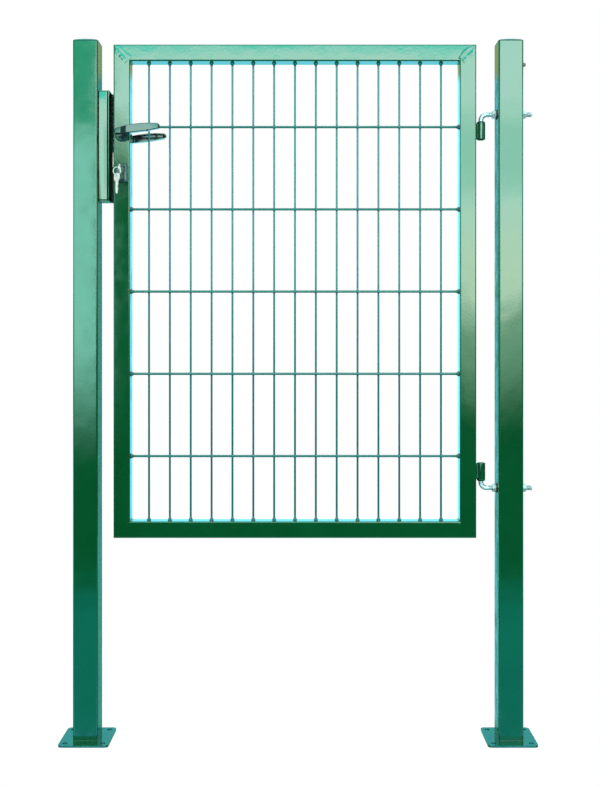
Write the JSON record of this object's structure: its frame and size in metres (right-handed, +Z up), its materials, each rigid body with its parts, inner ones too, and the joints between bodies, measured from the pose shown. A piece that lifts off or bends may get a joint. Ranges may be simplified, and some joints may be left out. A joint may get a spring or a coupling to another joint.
{
  "type": "mesh garden gate",
  "caption": "Single garden gate of welded wire mesh in a tube frame, hung on hook bolts between posts with base plates, with lever handles, a key lock and a strike.",
  "frame": {"origin": "centre of the underside of the hinge post's base plate", "axes": "+Z up, -X along the closed leaf from the hinge post to the latch post, -Y towards the side the leaf opens to"},
  "size_m": [1.145, 0.138, 1.696],
  "materials": {
    "green_coat": "gloss",
    "green_plastic": "gloss",
    "zinc_steel": "satin",
    "lock_steel": "satin",
    "key_metal": "polished",
    "black_rubber": "matte"
  },
  "bodies": {
    "posts": {"hinge_post": "green_coat", "latch_post": "green_coat", "hinge_post_plate": "green_coat", "latch_post_plate": "green_coat", "hinge_post_cap": "green_plastic", "latch_post_cap": "green_plastic", "upper_hinge_bolt": "zinc_steel", "lower_hinge_bolt": "zinc_steel", "upper_hinge_nuts": "zinc_steel", "lower_hinge_nuts": "zinc_steel", "upper_hinge_washers": "zinc_steel", "lower_hinge_washers": "zinc_steel", "side_screw": "zinc_steel", "strike": "green_coat", "strike_buffer": "black_rubber"},
    "leaf": {"top_rail": "green_coat", "bottom_rail": "green_coat", "hinge_stile": "green_coat", "lock_stile": "green_coat", "mesh_panel": "green_coat", "upper_barrel": "green_coat", "lower_barrel": "green_coat", "lock_case": "lock_steel", "lock_faceplate": "lock_steel", "front_rosette": "green_plastic", "rear_rosette": "green_plastic", "front_escutcheon": "green_plastic", "rear_escutcheon": "green_plastic", "lock_cylinder": "lock_steel"},
    "handles": {"front_lever": "green_plastic", "rear_lever": "green_plastic", "lever_spindle": "lock_steel"},
    "bolt": {"lock_bolt": "lock_steel"},
    "key": {"cylinder_plug": "lock_steel", "lock_key": "key_metal"},
    "key_bunch": {"key_ring": "key_metal", "spare_key": "key_metal"}
  },
  "joints": [
    {"name": "gate_swing", "type": "hinge", "parent": "posts", "child": "leaf", "pos_m": [-0.068, 0, 1], "axis": [0, 0, 1], "range_deg": [0, 100]},
    {"name": "lever_turn", "type": "hinge", "parent": "leaf", "child": "handles", "pos_m": [-0.939, 0, 1.465], "axis": [0, 1, 0], "range_deg": [0, 40], "stiffness_Nm_per_rad": 1.2, "springref_deg": -20.05},
    {"name": "key_turn", "type": "hinge", "parent": "leaf", "child": "key", "pos_m": [-0.939, 0, 1.38], "axis": [0, -1, 0], "range_deg": [0, 360]},
    {"name": "bolt_throw", "type": "slide", "parent": "leaf", "child": "bolt", "axis": [-1, 0, 0], "range_m": [0, 0.02]},
    {"name": "bunch_swing", "type": "hinge", "parent": "key", "child": "key_bunch", "pos_m": [-0.939, -0.0515, 1.38], "axis": [1, 0, 0], "range_deg": [-70, 10]}
  ],
  "couplings": [
    {"joint": "bolt_throw", "follows": "key_turn", "m_per_rad": 0.003183}
  ]
}
